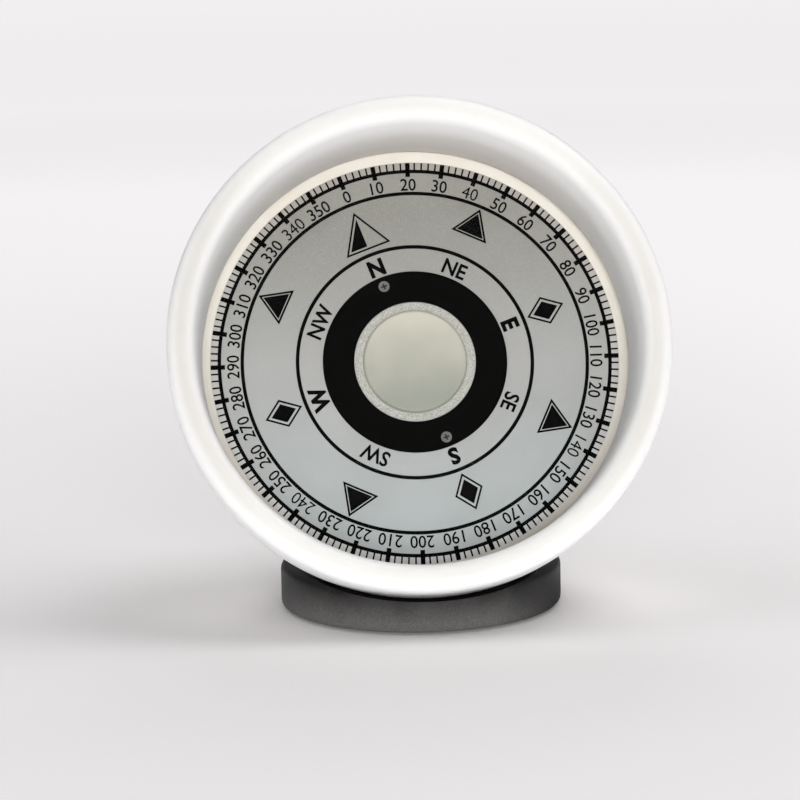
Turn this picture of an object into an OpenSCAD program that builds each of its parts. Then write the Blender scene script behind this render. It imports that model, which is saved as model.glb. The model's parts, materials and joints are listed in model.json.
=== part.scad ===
// Dashboard compass: a ball-shaped head that tilts in a swivelling cradle on a stick-on base.
// The origin is the middle of the resting face, +Z is up, and the dial faces -Y.
// The head is drawn upright around the middle of its ball, then leaned towards the viewer.

/* [Card] */
// Radius of the floating card
card_r = 39.4; // [36:0.2:42]
// Thickness of the card's ivory disc
card_t = 1.6; // [1.2:0.1:2.2]
// Ivory margin left bare outside the dial plate
card_margin = 1.9; // [0.8:0.1:3]
// Thickness of the dial plate
dial_t = 0.3; // [0.2:0.05:0.5]
// Radius of the hole in the middle of the dial plate
dial_hole_r = 11.1; // [10.2:0.1:12.5]
// Radius of the milky boss in the middle of the card
boss_r = 9.5; // [8.6:0.1:10]
// Height of the boss above the dial plate
boss_h = 0.9; // [0.4:0.1:1.5]
// Distance of the two dial rivets from the middle
rivet_ring_r = 15.1; // [14.2:0.1:16]
// Radius of a dial rivet's head
rivet_head_r = 1; // [0.5:0.05:1.2]
// How far the north mark is turned from the top of the head, anticlockwise
card_turn = 20.2; // [0:0.1:359]
// Inner radius of the air trough under the card
trough_in_r = 16; // [15.8:0.1:18]
// Outer radius of the air trough
trough_out_r = 28; // [22:0.5:29]
// Depth of the air trough
trough_h = 4.4; // [2:0.1:4.8]
// Wall of the air trough
trough_wall = 0.8; // [0.5:0.1:1.2]
// Length of a bar magnet
magnet_l = 18; // [10:0.5:18]
// Width of a bar magnet
magnet_w = 3; // [2:0.1:3]
// Height of a bar magnet
magnet_h = 3; // [1.5:0.1:4]

/* [Bowl] */
// Depth of the dial's printed face behind the middle of the ball
card_recess = 14.2; // [13:0.1:16]
// Gap between the card's edge and the bowl
card_gap = 0.4; // [0.3:0.1:1.2]
// Room under the card, down to the bowl's floor
card_depth = 5.9; // [5.3:0.1:7]
// Wall of the bowl where the ball is thinnest
bowl_wall = 1.9; // [1.8:0.1:3]
// Thickness of the bowl's floor
floor_t = 2; // [1.6:0.1:2.4]
// Gap between the dial and the seat of the cover's seal
ledge_gap = 0.7; // [0.6:0.1:1.2]
// Width of the seat of the cover's seal
ledge_w = 1.6; // [1.4:0.1:1.8]
// Thickness of the threaded collar that carries the lip ring
collar_t = 1.5; // [1.2:0.1:1.6]
// Height of the threaded collar above the joint line
collar_h = 7; // [4:0.5:9]
// Depth of the joint line between lip ring and bowl, behind the middle of the ball
split_depth = 10; // [9:0.1:10.5]

/* [Lip ring] */
// Straight wall between the middle of the ball and the lip's round
lip_straight = 5; // [3:0.25:6]
// Radius of the lip's outer round
lip_round = 3.2; // [2:0.2:3.6]
// Width of the lip's inner round, which is a quarter of an oval
lip_inner_round = 1.9; // [0.8:0.1:2.2]
// How far down the funnel the inner round reaches
lip_inner_depth = 4; // [1:0.5:6]
// Gap between the thread faces of lip ring and collar
thread_gap = 0.05; // [0.02:0.01:0.1]

/* [Cover] */
// Rise of the clear cover above its flange
dome_rise = 10; // [6:0.5:14]
// Thickness of the clear cover
dome_t = 1.6; // [1:0.1:2.2]
// Thickness of the cover's flange
flange_t = 1.4; // [1:0.1:2]
// Thickness of the cover's seal
gasket_t = 0.6; // [0.4:0.1:1]

/* [Pivot] */
// Radius of the pivot post
post_r = 2.2; // [1.8:0.1:2.4]
// Radius of the pivot pin
pin_r = 0.5; // [0.3:0.05:0.6]
// Depth of the pin's point behind the dial's printed face
point_depth = 1.7; // [1.5:0.1:1.8]
// Gap between the pin's point and the jewel
point_gap = 0.05; // [0.03:0.01:0.1]
// Radius of the jewel
jewel_r = 1.2; // [1:0.1:1.4]

/* [Rear cap] */
// Wall of the rear cap
cap_wall = 2.4; // [2:0.1:2.6]
// How far the ring that centres the cap stands inside the cap's mouth
spigot_inset = 2; // [1:0.1:2.5]
// Width of the tilt slot
slot_w = 3.8; // [3.4:0.1:4.2]
// Distance of the cap screws to each side of the slot
cap_screw_x = 25; // [23:0.5:26]
// Distance of the cap screws above and below the middle
cap_screw_y = 12; // [9:0.5:13]
// Radius of a cap screw's thread
cap_screw_r = 1; // [0.8:0.1:1.2]

/* [Expansion diaphragm] */
// Radius of the rubber diaphragm
diaphragm_r = 15.5; // [15:0.5:17]
// Thickness of the rubber
diaphragm_t = 0.8; // [0.5:0.1:1]
// Distance of the filler plug from the middle
plug_ring_r = 24.5; // [23:0.5:26]
// Radius of the filler plug's thread
plug_r = 2.5; // [2:0.1:3]

/* [Pose] */
// Lean of the head from upright towards the viewer
lean = 70; // [64:0.5:72]
// Extra lean that the slot allows past that pose
lean_forward = 2; // [0.5:0.5:3]
// How far the ball's middle lies in front of the base's middle
head_forward = 7.2; // [6:0.1:9]

/* [Cradle] */
// Radius of the round puck
puck_r = 25.6; // [24:0.2:27]
// Height of the puck's flat top above the dashboard
puck_top = 8.4; // [7.8:0.1:9]
// Clearance under the puck's skirt
skirt_gap = 0.3; // [0.2:0.1:0.5]
// Round on the puck's outer edges
puck_round = 1.3; // [0.5:0.1:1.6]
// Thickness of the puck's floor where the ball comes lowest
puck_floor = 1.65; // [1.5:0.05:2]
// Gap between the ball and its dish
seat_gap = 0.3; // [0.25:0.05:0.5]
// How far the dish is opened towards the viewer, so that the ball shows over the puck's edge
front_relief = 3.6; // [0:0.2:4]
// Thickness of the rear arm
arm_t = 4.1; // [3:0.1:4.5]
// Width of the rear arm
arm_w = 16; // [14.5:0.5:20]
// How far the rear arm runs past the clamp screw, in degrees around the ball
arm_past = 13; // [11:0.5:18]
// Radius of a rubber seat pad
pad_r = 3.5; // [2.5:0.1:4]
// Gap between a seat pad and the ball
pad_gap = 0.12; // [0.1:0.01:0.2]
// Angle of the two front pads in front of straight down
pad_front = 6; // [5:0.5:8]
// Angle of the two front pads to each side
pad_side = 16; // [14:0.5:18]
// Angle of the rear pad behind straight down
pad_rear = 30; // [28:0.5:32]

/* [Base] */
// Radius of the base plate
plate_r = 22; // [20:0.5:22.5]
// Thickness of the base plate
plate_t = 1; // [0.8:0.1:1.5]
// Thickness of the adhesive pad
tape_t = 0.6; // [0.5:0.1:1.2]
// Radius of the swivel rivet's shank
swivel_r = 3; // [2:0.1:3.4]
// Running clearance of the swivel, on the radius and under the floor
swivel_gap = 0.05; // [0.03:0.01:0.1]

/* [Clamp] */
// Angle of the clamp screw behind straight down
clamp_angle = 45; // [44:0.5:46]
// Radius of the clamp stud
stud_r = 1.5; // [1.2:0.05:1.6]
// Radius of the clamp knob
knob_r = 5.5; // [4:0.1:6]
// Length of the clamp knob
knob_l = 7; // [5:0.5:9]
// Number of flutes around the knob
knob_flutes = 10; // [6:1:14]

/* [Hidden] */
$fn = 96;
// How far a cut runs past the face that it opens
over = 1;
// How far two halves of one solid reach into each other
eps = 0.01;

// Levels along the head's own axis, from the middle of the ball, plus is towards the viewer
dial_z = -card_recess;
card_top_z = dial_z - dial_t;
card_low_z = card_top_z - card_t;
floor_z = card_low_z - card_depth;
back_z = floor_z - floor_t;
ledge_z = dial_z + ledge_gap;
flange_low_z = ledge_z + gasket_t;
flange_top_z = flange_low_z + flange_t;
crest_z = lip_straight + lip_round;
split_z = -split_depth;
collar_top_z = split_z + collar_h;

// The ball grows with the card that turns in it
drop_gap = 0.5;
well_r = card_r + card_gap;
cavity_r = norm([well_r, card_low_z - drop_gap]);
ball_r = cavity_r + bowl_wall;
collar_in_r = well_r + ledge_w;
collar_out_r = collar_in_r + collar_t;
crest_r = ball_r - lip_round;
mouth_overlap = 0.5;
mouth_r = card_r - mouth_overlap;

// Cover: a shallow cap of a large sphere on a flat flange
flange_gap = 0.2;
flange_r = collar_in_r - flange_gap;
gasket_margin = 0.1;
dome_foot_gap = 0.4;
dome_foot_r = mouth_r - dome_foot_gap;
dome_out_r = (pow(dome_foot_r, 2) + pow(dome_rise, 2)) / (2 * dome_rise);
dome_mid_z = flange_top_z + dome_rise - dome_out_r;

// Lubber pointer: lies in a notch of the seal's seat and ends just past the dial plate
pointer_w = 1.2;
pointer_t = 0.4;
pointer_end_gap = 0.1;
pointer_out_r = collar_in_r - pointer_end_gap;
pointer_in_r = card_r - card_margin + pointer_end_gap;

// Pivot: the post's collar keeps the card's retainer from coming off over it
point_z = dial_z - point_depth;
point_r = 0.05;
point_l = 3 * pin_r;
pin_depth = 2;
retainer_t = 0.4;
retainer_gap = 0.35;
retainer_play = 0.3;
retainer_drop = 2.3;
retainer_land = 1.2;
retainer_top_z = point_z - retainer_drop;
retainer_bore_r = post_r + retainer_gap;
post_collar_w = 0.7;
post_collar_t = 0.5;
post_collar_z = retainer_top_z + retainer_play;
post_top_z = post_collar_z + post_collar_t;
post_tail_r = 1.5;
post_foot_w = 2.6;
post_foot_t = 0.8;

// Card: jewel, its holder, and the hub that carries both
hub_step = 1.5;
hub_hole_r = boss_r - hub_step;
hub_wall = 3.2;
hub_fit = 0.05;
hub_roof_gap = 0.2;
boss_round = 0.6;
jewel_t = 0.7;
jewel_low_z = point_z + point_gap;
holder_wall = 1.2;
holder_r = jewel_r + holder_wall;
holder_roof = 0.4;
holder_low_z = point_z - holder_roof;
holder_top_z = jewel_low_z + jewel_t + holder_roof;
holder_mouth = 0.4;
rivet_step = 0.25;
rivet_shank_r = rivet_head_r - rivet_step;
rivet_head_t = 0.2;
magnet_gap = 0.5;

// Rear cap: centred by the spigot, held by four long screws on posts
cap_in_r = ball_r - cap_wall;
cap_mouth_r = sqrt(pow(cap_in_r, 2) - pow(back_z, 2));
spigot_r = cap_mouth_r - spigot_inset;
spigot_t = 1.2;
spigot_h = 2;
spigot_fit = 0.05;
cap_post_fit = 0.1;
cap_post_h = 7;
cap_post_wall = 2;
cap_sleeve_wall = 3;
cap_seat_t = 1;
cap_post_z = back_z - cap_post_h;
cap_seat_z = cap_post_z - cap_seat_t;
cap_screw_head_w = 1.1;
cap_screw_head_r = cap_screw_r + cap_screw_head_w;
cap_screw_head_t = 1.2;
cap_screw_head_gap = 0.2;
cap_screw_slot = 0.5;
blind_depth = 1;
cap_screw_end_gap = 0.5;

// Filler plug: a slotted screw with a seal under its head
plug_turn = -45;
plug_boss_wall = 2.4;
plug_boss_h = 2;
plug_seal_t = 0.6;
plug_seal_w = 1.4;
plug_head_w = 1.6;
plug_head_t = 1.4;
plug_slot = 0.8;
plug_slot_depth = 0.8;
plug_boss_z = back_z - plug_boss_h;
plug_seal_z = plug_boss_z - plug_seal_t;
plug_head_z = plug_seal_z - plug_head_t;

// Diaphragm: a rolled fold inside a clamping ring, over four ports in the bowl's floor
fold_inset = 7;
fold_mid_r = diaphragm_r - fold_inset;
fold_r = 2.4;
port_r = 1;
port_ring_r = fold_mid_r + 0.5;
ring_t = 1.2;
ring_gap = 0.6;
diaphragm_low_z = back_z - diaphragm_t;
diaphragm_screw_r = 0.8;
diaphragm_screw_edge = 1.8;
diaphragm_screw_ring = diaphragm_r - diaphragm_screw_edge;
diaphragm_screw_head_w = 0.6;
diaphragm_screw_head_t = 0.8;
diaphragm_screw_bite = 1.2;
diaphragm_screw_end_gap = 0.2;

// Heights above the dashboard
plate_top = tape_t + plate_t;
puck_low = plate_top + swivel_gap;
dish_r = ball_r + seat_gap;
head_z = puck_low + puck_floor + dish_r;
head_y = -head_forward;
tape_margin = 0.5;
relief_lift = 0.3;
skirt_fit = 0.4;

// Swivel rivet: its head stays below the dish, which comes lowest towards the viewer
swivel_head_w = 2;
swivel_head_r = swivel_r + swivel_head_w;
swivel_head_gap = 0.3;
swivel_head_drop = 0.15;
swivel_head_t = 0.45;
washer_t = 0.2;
washer_gap = 0.1;
swivel_dish_z = head_z - sqrt(pow(dish_r, 2) - pow(head_forward - swivel_head_r, 2));
swivel_head_top = swivel_dish_z - swivel_head_drop;
swivel_seat_z = swivel_head_top - swivel_head_t - washer_t - swivel_gap;
swivel_tail_w = 1.4;
swivel_tail_r = swivel_r + swivel_tail_w;
swivel_tail_t = 0.5;

// Cradle arm and seat pads
arm_r = dish_r + arm_t;
arm_root = 26;
arm_root_depth = 3;
pad_t = 0.9;
pad_face_r = ball_r + pad_gap;

// Clamp: the slider nut sits inside the rear cap, its tongue runs in the slot
nut_half = 5;
nut_w = 11;
nut_t = 2;
nut_gap = 0.3;
nut_out_r = cap_in_r - nut_gap;
nut_in_r = nut_out_r - nut_t;
tongue_half = 4;
tongue_gap = 0.2;
tongue_root = 0.6;
tongue_w = slot_w - 2 * tongue_gap;
tongue_out_r = ball_r - nut_gap;
slot_end_gap = 0.5;
slot_from = clamp_angle - lean - lean_forward - tongue_half - slot_end_gap;
slot_to = clamp_angle + tongue_half + slot_end_gap;
stud_gap = 0.05;
stud_past_nut = 0.8;
stud_start = nut_in_r - stud_past_nut;
spot_depth = 0.4;
spot_r = arm_r - spot_depth;
clamp_washer_t = 0.6;
clamp_washer_gap = 0.1;
clamp_washer_edge = 1;
knob_start = spot_r + clamp_washer_t + swivel_gap;
knob_end = knob_start + knob_l;
knob_chamfer = 0.8;
knob_cover = 2;
knob_clear = 1;
stud_end = knob_end - knob_cover;
flute_r = 0.9;
flute_out = 0.35;
flute_collar = 1;

// Places a child drawn in the head's own frame
module in_head() {
    translate([0, head_y, head_z]) rotate([lean, 0, 0]) children();
}

// Places a child drawn on the card, with north at the top
module in_card() {
    in_head() rotate([0, 0, card_turn]) children();
}

// Places a child drawn around the ball's middle without the lean
module at_ball() {
    translate([0, head_y, head_z]) children();
}

// Points +Z out of the ball along the clamp screw
module along_clamp() {
    at_ball() rotate([180 + clamp_angle, 0, 0]) children();
}

module disc(r, z_low, z_high) {
    translate([0, 0, z_low]) cylinder(r = r, h = z_high - z_low);
}

module tube(r_out, r_in, z_low, z_high) {
    difference() {
        disc(r_out, z_low, z_high);
        disc(r_in, z_low - over, z_high + over);
    }
}

// A bar bent around the X axis; its angle runs from -Z towards +Y
module arc_bar(r_in, r_out, width, from, to) {
    rotate([0, 90, 0]) rotate([0, 0, from])
        rotate_extrude(angle = to - from)
            translate([r_in, -width / 2]) square([r_out - r_in, width]);
}

module around(radius, first = 0, count = 4) {
    for (k = [0:count - 1])
        rotate([0, 0, first + k * 360 / count]) translate([radius, 0, 0]) children();
}

module at_cap_screws() {
    for (x = [-cap_screw_x, cap_screw_x], y = [-cap_screw_y, cap_screw_y])
        translate([x, y, 0]) children();
}

module at_plug() {
    rotate([0, 0, plug_turn]) translate([plug_ring_r, 0, 0]) children();
}

module at_diaphragm_screws() {
    around(diaphragm_screw_ring, 45) children();
}

module at_dial_rivets() {
    for (side = [-1, 1]) translate([0, side * rivet_ring_r, 0]) children();
}

// +Z points out of the ball at each seat pad
module at_seat_pads() {
    for (side = [-1, 1])
        at_ball() rotate([180 - pad_front, 0, 0]) rotate([0, pad_side * side, 0]) children();
    at_ball() rotate([180 + pad_rear, 0, 0]) children();
}

// Base

module adhesive_pad() {
    color("dimgray") disc(plate_r - tape_margin, 0, tape_t);
}

module base_plate() {
    color("silver") difference() {
        disc(plate_r, tape_t, plate_top);
        disc(swivel_r, 0, plate_top + over);
        disc(swivel_tail_r, 0, tape_t + swivel_tail_t);
    }
}

module swivel_rivet() {
    color("goldenrod") {
        disc(swivel_tail_r, tape_t, tape_t + swivel_tail_t);
        disc(swivel_r, tape_t, swivel_head_top);
        disc(swivel_head_r, swivel_head_top - swivel_head_t, swivel_head_top);
    }
}

// Cradle

module puck_outline() {
    edge_r = puck_r - puck_round;
    polygon(concat(
        [[0, skirt_gap], [edge_r, skirt_gap]],
        [for (k = [1:5]) [
            edge_r + puck_round * sin(18 * k),
            skirt_gap + puck_round * (1 - cos(18 * k))
        ]],
        [for (k = [0:5]) [
            edge_r + puck_round * cos(18 * k),
            puck_top - puck_round * (1 - sin(18 * k))
        ]],
        [[0, puck_top]]
    ));
}

module cradle() {
    color([0.08, 0.08, 0.08]) difference() {
        union() {
            rotate_extrude() puck_outline();
            at_ball() arc_bar(dish_r - arm_root_depth, arm_r, arm_w, arm_root, clamp_angle + arm_past);
        }
        at_ball() sphere(dish_r);
        translate([0, -front_relief, relief_lift]) at_ball() sphere(dish_r);
        disc(plate_r + skirt_fit, 0, puck_low);
        disc(swivel_r + swivel_gap, 0, puck_top);
        disc(swivel_head_r + swivel_head_gap, swivel_seat_z, puck_top);
        along_clamp() disc(stud_r + stud_gap, 0, arm_r + over);
        along_clamp() disc(knob_r + knob_clear, spot_r, knob_end);
        at_seat_pads() disc(pad_r, pad_face_r - over, pad_face_r + pad_t);
    }
}

module swivel_washer() {
    color("gainsboro")
        tube(swivel_head_r, swivel_r + washer_gap, swivel_seat_z, swivel_seat_z + washer_t);
}

module seat_pads() {
    color([0.15, 0.15, 0.15]) at_seat_pads() disc(pad_r, pad_face_r, pad_face_r + pad_t);
}

module clamp_nut() {
    color("goldenrod") difference() {
        union() {
            intersection() {
                at_ball() arc_bar(nut_in_r, nut_out_r + over, nut_w,
                    clamp_angle - nut_half, clamp_angle + nut_half);
                at_ball() sphere(nut_out_r);
            }
            at_ball() arc_bar(nut_out_r - tongue_root, tongue_out_r, tongue_w,
                clamp_angle - tongue_half, clamp_angle + tongue_half);
        }
        along_clamp() disc(stud_r + stud_gap, 0, ball_r + over);
    }
}

module clamp_washer() {
    color("silver") along_clamp()
        tube(knob_r - clamp_washer_edge, stud_r + clamp_washer_gap, spot_r, spot_r + clamp_washer_t);
}

// Knob

module clamp_knob() {
    color([0.1, 0.1, 0.1]) along_clamp() difference() {
        union() {
            disc(knob_r, knob_start, knob_end - knob_chamfer);
            translate([0, 0, knob_end - knob_chamfer])
                cylinder(r1 = knob_r, r2 = knob_r - knob_chamfer, h = knob_chamfer);
        }
        disc(stud_r, knob_start - over, stud_end);
        around(knob_r + flute_out, count = knob_flutes)
            disc(flute_r, knob_start + flute_collar, knob_end + over);
    }
}

module clamp_stud() {
    color("goldenrod") along_clamp() disc(stud_r, stud_start, stud_end);
}

// Head

module bowl() {
    color("white") in_head() difference() {
        union() {
            intersection() {
                sphere(ball_r);
                disc(ball_r, back_z, split_z);
            }
            disc(collar_out_r, split_z - over, collar_top_z);
            tube(spigot_r, spigot_r - spigot_t, back_z - spigot_h, back_z + over);
            at_cap_screws() disc(cap_screw_r + cap_post_wall, cap_post_z, back_z + over);
            at_plug() disc(plug_r + plug_boss_wall, plug_boss_z, back_z + over);
        }
        intersection() {
            sphere(cavity_r);
            disc(well_r, floor_z, ledge_z + over);
        }
        disc(collar_in_r, ledge_z, collar_top_z + over);
        disc(post_tail_r, back_z - over, floor_z + over);
        around(port_ring_r) disc(port_r, back_z - over, floor_z + over);
        at_diaphragm_screws()
            disc(diaphragm_screw_r, back_z - over, back_z + diaphragm_screw_bite + diaphragm_screw_end_gap);
        at_cap_screws() disc(cap_screw_r, cap_post_z - over, back_z - blind_depth);
        at_plug() disc(plug_r, plug_boss_z - over, floor_z + over);
        translate([-pointer_w / 2, -collar_in_r, ledge_z - pointer_t])
            cube([pointer_w, ledge_w + over, pointer_t + over]);
    }
}

// The outline runs from the crest over the inner round and down the funnel to the cover,
// around the thread groove, and back up the outside
module ring_outline() {
    split_angle = asin(split_z / ball_r);
    polygon(concat(
        [for (k = [0:10]) [
            crest_r - lip_inner_round * sin(90 * k / 10),
            crest_z - lip_inner_depth * (1 - cos(90 * k / 10))
        ]],
        [
            [mouth_r, flange_top_z],
            [collar_in_r - thread_gap, flange_top_z],
            [collar_in_r - thread_gap, collar_top_z + thread_gap],
            [collar_out_r + thread_gap, collar_top_z + thread_gap],
            [collar_out_r + thread_gap, split_z]
        ],
        [for (k = [0:5]) ball_r * [
            cos(split_angle * (1 - k / 6)),
            sin(split_angle * (1 - k / 6))
        ]],
        [for (k = [0:7]) [
            crest_r + lip_round * cos(90 * k / 8),
            lip_straight + lip_round * sin(90 * k / 8)
        ]]
    ));
}

module front_ring() {
    color("white") in_head() rotate_extrude() ring_outline();
}

module rear_cap() {
    color("white") in_head() difference() {
        intersection() {
            sphere(ball_r);
            disc(ball_r, -ball_r, back_z);
        }
        difference() {
            intersection() {
                sphere(cap_in_r);
                disc(spigot_r + spigot_fit, -ball_r, back_z + over);
            }
            at_cap_screws() disc(cap_screw_r + cap_sleeve_wall, -ball_r, cap_post_z);
        }
        disc(spigot_r + spigot_fit, back_z - spigot_h - cap_post_fit, back_z + over);
        at_cap_screws() disc(cap_screw_r + cap_post_wall + cap_post_fit, cap_post_z, back_z + over);
        arc_bar(cap_in_r - 2 * over, ball_r + over, slot_w, slot_from, slot_to);
        at_cap_screws() disc(cap_screw_r, -ball_r, back_z);
        at_cap_screws() disc(cap_screw_head_r + cap_screw_head_gap, -ball_r, cap_seat_z);
    }
}

module rear_cap_screws() {
    low_z = cap_seat_z - cap_screw_head_t;
    color("silver") in_head() at_cap_screws() difference() {
        union() {
            disc(cap_screw_head_r, low_z, cap_seat_z);
            disc(cap_screw_r, low_z, back_z - blind_depth - cap_screw_end_gap);
        }
        translate([-cap_screw_head_r, -cap_screw_slot / 2, low_z - over])
            cube([2 * cap_screw_head_r, cap_screw_slot, over + cap_screw_slot]);
    }
}

module dome() {
    color([0.9, 0.95, 0.95, 0.3]) in_head() difference() {
        union() {
            disc(flange_r, flange_low_z, flange_top_z);
            intersection() {
                translate([0, 0, dome_mid_z]) sphere(dome_out_r);
                disc(dome_foot_r, flange_top_z - eps, flange_top_z + dome_rise + over);
            }
        }
        intersection() {
            translate([0, 0, dome_mid_z]) sphere(dome_out_r - dome_t);
            disc(dome_foot_r, flange_low_z - over, flange_top_z + dome_rise);
        }
    }
}

module dome_gasket() {
    color("black") in_head() tube(flange_r, well_r + gasket_margin, ledge_z, flange_low_z);
}

module lubber_pointer() {
    color("black") in_head() translate([-pointer_w / 2, -pointer_out_r, ledge_z - pointer_t])
        cube([pointer_w, pointer_out_r - pointer_in_r, pointer_t]);
}

module pivot_post() {
    color("goldenrod") in_head() difference() {
        union() {
            disc(post_tail_r, back_z, floor_z + over / 2);
            disc(post_r + post_foot_w, floor_z, floor_z + post_foot_t);
            disc(post_r, floor_z, post_top_z);
            disc(post_r + post_collar_w, post_collar_z, post_top_z);
        }
        disc(pin_r, post_top_z - pin_depth, post_top_z + over);
    }
}

module pivot_pin() {
    color("silver") in_head() {
        disc(pin_r, post_top_z - pin_depth, point_z - point_l);
        translate([0, 0, point_z - point_l]) cylinder(r1 = pin_r, r2 = point_r, h = point_l);
    }
}

module filler_plug() {
    color("goldenrod") in_head() at_plug() difference() {
        union() {
            disc(plug_r, plug_seal_z, floor_z);
            disc(plug_r + plug_head_w, plug_head_z, plug_seal_z);
        }
        translate([-plug_r, -plug_slot / 2, plug_head_z - over])
            cube([2 * plug_r, plug_slot, over + plug_slot_depth]);
    }
}

module plug_seal() {
    color("black") in_head() at_plug() tube(plug_r + plug_seal_w, plug_r, plug_seal_z, plug_boss_z);
}

module fold(radius) {
    rotate_extrude() translate([fold_mid_r, diaphragm_low_z]) circle(radius, $fn = 48);
}

module diaphragm() {
    color([0.2, 0.2, 0.2]) in_head() difference() {
        union() {
            disc(diaphragm_r, diaphragm_low_z, back_z);
            intersection() {
                fold(fold_r);
                disc(diaphragm_r, diaphragm_low_z - 2 * fold_r, diaphragm_low_z + eps);
            }
        }
        fold(fold_r - diaphragm_t);
        disc(fold_mid_r, diaphragm_low_z + diaphragm_t / 2, back_z + over);
        at_diaphragm_screws() disc(diaphragm_screw_r, diaphragm_low_z - over, back_z + over);
    }
}

module diaphragm_ring() {
    color("goldenrod") in_head() difference() {
        tube(diaphragm_r, fold_mid_r + fold_r + ring_gap, diaphragm_low_z - ring_t, diaphragm_low_z);
        at_diaphragm_screws() disc(diaphragm_screw_r, diaphragm_low_z - ring_t - over, back_z);
    }
}

module diaphragm_screws() {
    seat_z = diaphragm_low_z - ring_t;
    color("silver") in_head() at_diaphragm_screws() {
        disc(diaphragm_screw_r + diaphragm_screw_head_w, seat_z - diaphragm_screw_head_t, seat_z);
        disc(diaphragm_screw_r, seat_z - diaphragm_screw_head_t, back_z + diaphragm_screw_bite);
    }
}

// Card

module card_float() {
    color("ivory") in_card() difference() {
        disc(card_r, card_low_z, card_top_z);
        disc(hub_hole_r, card_low_z - over, card_top_z + over);
        at_dial_rivets() disc(rivet_shank_r, card_low_z - over, card_top_z + over);
    }
}

module float_chamber() {
    low_z = card_low_z - trough_h;
    color("ivory") in_card() difference() {
        tube(trough_out_r, trough_in_r, low_z, card_low_z);
        tube(trough_out_r - trough_wall, trough_in_r + trough_wall, low_z + trough_wall, card_low_z + over);
    }
}

module dial_plate() {
    color("silver") in_card() difference() {
        disc(card_r - card_margin, card_top_z, dial_z);
        disc(dial_hole_r, card_top_z - over, dial_z + over);
        at_dial_rivets() disc(rivet_shank_r, card_top_z - over, dial_z + over);
    }
}

module dial_rivets() {
    color("silver") in_card() at_dial_rivets() {
        disc(rivet_shank_r, card_low_z, dial_z + rivet_head_t);
        disc(rivet_head_r, dial_z, dial_z + rivet_head_t);
    }
}

module hub_outline() {
    edge = min(boss_round, boss_h);
    plug_out_r = dial_hole_r - hub_fit;
    polygon(concat(
        [[0, card_top_z], [plug_out_r, card_top_z], [plug_out_r, dial_z], [boss_r, dial_z]],
        [for (k = [0:5]) [
            boss_r - edge + edge * cos(18 * k),
            dial_z + boss_h - edge + edge * sin(18 * k)
        ]],
        [[0, dial_z + boss_h]]
    ));
}

module card_hub() {
    color([0.9, 0.92, 0.85]) in_card() difference() {
        union() {
            rotate_extrude() hub_outline();
            disc(hub_hole_r, retainer_top_z, card_top_z + eps);
        }
        disc(hub_hole_r - hub_wall, retainer_top_z - over, point_z + hub_roof_gap);
        disc(holder_r, retainer_top_z - over, holder_top_z);
    }
}

module jewel_holder() {
    color("goldenrod") in_card() difference() {
        disc(holder_r, holder_low_z, holder_top_z);
        disc(pin_r + holder_mouth, holder_low_z - over, jewel_low_z + eps);
        disc(jewel_r, jewel_low_z, jewel_low_z + jewel_t);
    }
}

module jewel() {
    color("crimson") in_card() disc(jewel_r, jewel_low_z, jewel_low_z + jewel_t);
}

module card_retainer() {
    color("goldenrod") in_card()
        tube(hub_hole_r - retainer_land, retainer_bore_r, retainer_top_z - retainer_t, retainer_top_z);
}

module magnets() {
    color("dimgray") in_card() for (side = [-1, 1])
        translate([side * (hub_hole_r + magnet_gap + magnet_w / 2), 0, card_low_z - magnet_h / 2])
            cube([magnet_w, magnet_l, magnet_h], center = true);
}

adhesive_pad();
base_plate();
swivel_rivet();
cradle();
swivel_washer();
seat_pads();
clamp_nut();
clamp_washer();
clamp_knob();
clamp_stud();
bowl();
front_ring();
rear_cap();
rear_cap_screws();
dome();
dome_gasket();
lubber_pointer();
pivot_post();
pivot_pin();
filler_plug();
plug_seal();
diaphragm();
diaphragm_ring();
diaphragm_screws();
card_float();
float_chamber();
dial_plate();
dial_rivets();
card_hub();
jewel_holder();
jewel();
card_retainer();
magnets();
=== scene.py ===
# %% [markdown]
# Dashboard compass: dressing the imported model.
# A liquid-filled ball compass sits in a black puck that is stuck to the dashboard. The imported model
# already has every piece in its place, so this script gives the pieces their finishes, prints the
# dial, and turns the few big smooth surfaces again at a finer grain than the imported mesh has.

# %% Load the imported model
import json
import bmesh
import bpy
import numpy as np
from mathutils import Matrix, Vector


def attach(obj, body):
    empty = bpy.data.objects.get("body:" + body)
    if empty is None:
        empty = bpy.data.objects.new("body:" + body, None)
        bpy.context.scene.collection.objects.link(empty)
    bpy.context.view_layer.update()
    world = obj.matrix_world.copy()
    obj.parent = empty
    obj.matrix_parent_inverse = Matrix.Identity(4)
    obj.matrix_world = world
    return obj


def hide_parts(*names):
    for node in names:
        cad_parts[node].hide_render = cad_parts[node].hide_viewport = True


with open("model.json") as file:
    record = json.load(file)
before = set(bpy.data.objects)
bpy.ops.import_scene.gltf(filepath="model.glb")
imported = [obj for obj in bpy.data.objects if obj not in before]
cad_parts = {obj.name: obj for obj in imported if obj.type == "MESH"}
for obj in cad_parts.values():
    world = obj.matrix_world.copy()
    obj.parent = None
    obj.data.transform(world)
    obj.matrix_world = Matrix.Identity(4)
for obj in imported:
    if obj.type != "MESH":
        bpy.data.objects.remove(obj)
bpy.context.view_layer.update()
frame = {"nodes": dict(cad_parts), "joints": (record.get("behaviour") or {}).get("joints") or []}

# %% [markdown]
# The head leans back in its cradle, so nothing on it is square to the world. Everything on the head
# is easier to draw in the head's own frame: x to the right, y up the dial, and s along the axis that
# runs out of the dial towards the viewer. The tilt joint gives the middle of the ball and the card's
# joint gives that axis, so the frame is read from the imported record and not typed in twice.

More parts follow.
